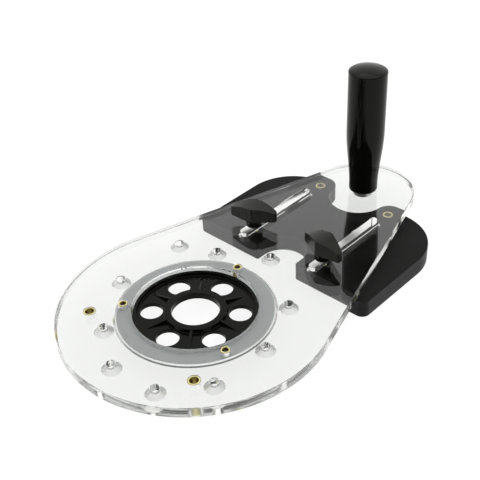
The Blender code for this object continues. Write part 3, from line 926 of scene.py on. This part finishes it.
def guide_half(inset):
    """The guide's left half from the front notch to the rear one, drawn in by an inset."""
    ear_x = REAR_X - EAR_R
    meeting = math.degrees(math.atan2(-EAR_Y, REAR_NOTCH_X - ear_x))
    rear_notch_r = math.hypot(REAR_NOTCH_X - ear_x, EAR_Y) - EAR_R
    tip = (FRONT_X + NOTCH_CORNER_R, FRONT_NOTCH_R + NOTCH_CORNER_R)
    corner = (FRONT_X + FRONT_CORNER_R, SIDE_Y - FRONT_CORNER_R)
    lobe = (REAR_X - LOBE_R, SIDE_Y - LOBE_R)
    return (
        arc((FRONT_NOTCH_X, 0), FRONT_NOTCH_R + inset, 0, 90, steps=32)
        + arc(tip, NOTCH_CORNER_R - inset, 270, 180, steps=8)
        + arc(corner, FRONT_CORNER_R - inset, 180, 90, steps=16)
        + arc(lobe, LOBE_R - inset, 90, 0, steps=48)
        + arc((ear_x, EAR_Y), EAR_R - inset, 0, meeting, steps=24)
        + arc((REAR_NOTCH_X, 0), rear_notch_r + inset, meeting + 180, 180, steps=32)[1:]
    )


def guide_outline(inset):
    ring_x = Spot("centre_insert").x
    half = guide_half(inset)
    whole = half + [(x, -y) for x, y in reversed(half[1:-1])]
    return [(ring_x + x, y) for x, y in whole]


def make_edge_guide(looks):
    """Two boards glued face to face, so a fine seam runs round the edge at half height."""
    spot = Spot("edge_guide")
    seam = (spot.low + spot.high) / 2
    loops = rounded_wall(guide_outline, spot.low, spot.high, GUIDE_LOW_ROUND, GUIDE_HIGH_ROUND, steps=3)
    middle = len(loops) // 2
    loops[middle:middle] = [
        (guide_outline(0), seam - SEAM_HALF),
        (guide_outline(SEAM_DEEP), seam),
        (guide_outline(0), seam + SEAM_HALF),
    ]
    guide = loft("guide_board", loops, [looks["board_face"], looks["board_cut"]])
    mark_walls(guide)
    cutters = []
    for row in GUIDE_INSERTS:
        for side in SIDES:
            insert = Spot(f"guide_insert_{row}_{side}")
            floor, radius = insert.low - GAP, insert.radius + GAP
            cutters.append(drill(insert.at, radius, floor, spot.high + PAST, looks["board_cut"]))
    boolean(guide, gathered("cutters", cutters))
    dress(guide, "guide", "black_satin_plastic", "edge_guide")


def make_washer(looks, side):
    spot = Spot(f"knob_washer_{side}")
    edge_r = spot.radius - WASHER_SOFT
    profile = (
        arc((edge_r, spot.high - WASHER_SOFT), WASHER_SOFT, 90, 0, CORNER)
        + arc((edge_r, spot.low + WASHER_SOFT), WASHER_SOFT, 0, -90, CORNER)
        + [(KNOB_BORE_R, spot.low), (KNOB_BORE_R, spot.high)]
    )
    washer = lathe(f"washer_{side}", profile, spot.at, [looks["moulded"]])
    dress(washer, f"clamp_{side}", "black_satin_plastic", f"knob_washer_{side}")


def make_stud(looks, side):
    """The knob's threaded stud, with a chamfer at either end."""
    spot = Spot(f"knob_screw_{side}")
    radius = spot.radius
    top_cut = 0.4
    tip_cut = 0.8
    profile = (
        [(0, spot.high), (radius - top_cut, spot.high)]
        + rows(radius, spot.high - top_cut, spot.low + tip_cut, KNOB_PITCH / 4)
        + [(radius - tip_cut, spot.low), (0, spot.low)]
    )
    waves = [thread(radius, KNOB_PITCH, THREAD_DEEP * KNOB_PITCH)]
    screw = lathe(f"stud_{side}", profile, spot.at, [looks["steel"]], waves=waves)
    dress(screw, f"knob_{side}", "steel", f"knob_screw_{side}")


def arch(at, top, turn, look):
    """A lying cylinder whose upper side is the arch of the wings. It is longer than they are thick."""
    shape = bmesh.new()
    bmesh.ops.create_cone(
        shape, cap_ends=True, segments=4 * FINE, radius1=ARCH_R, radius2=ARCH_R, depth=4 * KNOB_COLLAR_R
    )
    place = Matrix.Translation((*at, top - ARCH_R)) @ turn
    shape.transform(place @ Matrix.Rotation(math.pi / 2, 4, "Y"))
    return stand_up("arch", shape, [look])


def foot_profile(low, wing):
    """A core inside the wings, a collar with its edges off below them, and a cone down to the foot."""
    soft = 0.3
    core_r = KNOB_COLLAR_R - 1.5
    core_top = wing + 3.0
    return [
        (0, core_top),
        (core_r, core_top),
        (core_r, wing + 0.5),
        (KNOB_COLLAR_R - soft, wing),
        (KNOB_COLLAR_R, wing - 0.4),
        (KNOB_COLLAR_R - soft, wing - 1.2),
        (KNOB_FOOT_R + soft, low + 0.5),
        (KNOB_FOOT_R - 0.2, low),
        (0, low),
    ]


def make_wing_head(looks, side):
    """Two wings with an arched top and rounded edges, on a collar that narrows to a bored foot."""
    plate_top = plate_levels()[1]
    low, wing, top = (plate_top + level for level in (KNOB_LOW, WING_LOW, KNOB_TOP))
    spot = Spot(f"knob_washer_{side}")
    turn = Matrix.Rotation(math.radians(KNOB_TURNS[side]), 4, "Z")
    look = looks["moulded"]

    corners = WING_HALF + [(-x, -y) for x, y in WING_HALF]
    outline = [(turn @ Vector((x, y, 0))).xy for x, y in rounded(corners, WING_CORNER_R, steps=8)]
    outline = [(spot.x + x, spot.y + y) for x, y in outline]
    head = loft(f"wing_head_{side}", [(outline, wing), (outline, top + PAST)], [look])
    boolean(head, arch(spot.at, top, turn, look), "INTERSECT")
    bevel(head, WING_EDGE, segments=5)

    boolean(head, lathe("foot", foot_profile(low, wing), spot.at, [look], MEDIUM), "UNION")
    ceiling = Spot(f"knob_screw_{side}").high + GAP
    boolean(head, drill(spot.at, KNOB_BORE_R, plate_top, ceiling, look))
    dress(head, f"knob_{side}", "black_satin_plastic", f"knob_head_{side}")


def make_camera():
    ring_x = Spot("centre_insert").x
    plate_top = plate_levels()[1]
    yaw, pitch = math.radians(CAMERA_YAW), math.radians(CAMERA_PITCH)
    ahead = Vector((math.cos(yaw) * math.cos(pitch), math.sin(yaw) * math.cos(pitch), -math.sin(pitch)))
    x, y, z = CAMERA_PLACE
    data = bpy.data.cameras.new("camera")
    data.sensor_width = SENSOR
    data.lens = SENSOR * FOCAL_PIXELS / PHOTO_WIDTH
    data.shift_x = (PHOTO_WIDTH / 2 - CENTRE_PIXEL[0]) / PHOTO_WIDTH
    data.shift_y = (CENTRE_PIXEL[1] - PHOTO_WIDTH / 2) / PHOTO_WIDTH
    data.clip_start = 0.01
    data.clip_end = 20
    camera = add("camera", data)
    camera.location = ((ring_x + x) * MM, y * MM, (plate_top + z) * MM)
    camera.rotation_mode = "QUATERNION"
    roll = Quaternion((0, 0, 1), -math.radians(CAMERA_ROLL))
    camera.rotation_quaternion = ahead.to_track_quat("-Z", "Y") @ roll
    bpy.context.scene.camera = camera


def make_lamp():
    """A large soft lamp straight above the tool, facing down."""
    data = bpy.data.lights.new("overhead", "AREA")
    data.size = OVERHEAD_WIDE * MM
    data.energy = OVERHEAD_POWER
    add("overhead", data).location = (0, 0, OVERHEAD_HIGH * MM)


def make_room():
    """A soft room light, brighter on one side, as from a large lit backdrop."""
    world = bpy.data.worlds.new("studio")
    world.use_nodes = True
    tree = world.node_tree
    yaw, rise = math.radians(BRIGHT_YAW), math.radians(BRIGHT_RISE)
    bright = (math.cos(yaw) * math.cos(rise), math.sin(yaw) * math.cos(rise), math.sin(rise))
    place = tree.nodes.new("ShaderNodeTexCoord")
    facing = tree.nodes.new("ShaderNodeVectorMath")
    facing.operation = "DOT_PRODUCT"
    facing.inputs[1].default_value = bright
    tree.links.new(place.outputs["Generated"], facing.inputs[0])
    light = ramp(tree, facing.outputs["Value"], DARK_SIDE, BRIGHT_SIDE, DARK_UNTIL, BRIGHT_FROM)
    light.node.interpolation_type = "SMOOTHSTEP"
    background = tree.nodes["Background"]
    background.inputs["Color"].default_value = (1, 1, 1, 1)
    tree.links.new(light, background.inputs["Strength"])
    bpy.context.scene.world = world


def make_stage():
    shape = bmesh.new()
    bmesh.ops.create_grid(shape, x_segments=1, y_segments=1, size=FLOOR_HALF)
    bmesh.ops.translate(shape, verts=shape.verts, vec=(0, 0, -FLOOR_GAP))
    stand_up("floor", shape, [floor_look()])
    make_room()
    make_lamp()
    bpy.context.scene.view_settings.view_transform = "Standard"
    cycles = bpy.context.scene.cycles
    cycles.max_bounces = 24
    cycles.transmission_bounces = 20
    cycles.glossy_bounces = 8
    cycles.diffuse_bounces = 4


def main():
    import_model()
    looks = make_looks()
    make_camera()
    make_stage()
    make_plate(looks)
    make_centre_insert(looks)
    for i in range(RING_FIXINGS):
        make_brass_insert(looks, f"ring_insert_{i + 1}", "base", *RING_INSERT)
        make_sunk_screw(looks, f"ring_screw_{i + 1}", "black_steel", **RING_SCREW)
    for side in SIDES:
        make_brass_insert(looks, f"plate_insert_{side}", "base", *PLATE_INSERT)
    make_grip(looks)
    make_brass_insert(looks, "handle_insert", "base", *GRIP_INSERT)
    make_sunk_screw(looks, "handle_screw", "steel", **GRIP_SCREW)
    make_edge_guide(looks)
    for row, bore in GUIDE_INSERTS.items():
        for side in SIDES:
            make_brass_insert(looks, f"guide_insert_{row}_{side}", "guide", *bore)
    for side in SIDES:
        make_washer(looks, side)
        make_stud(looks, side)
        make_wing_head(looks, side)


main()
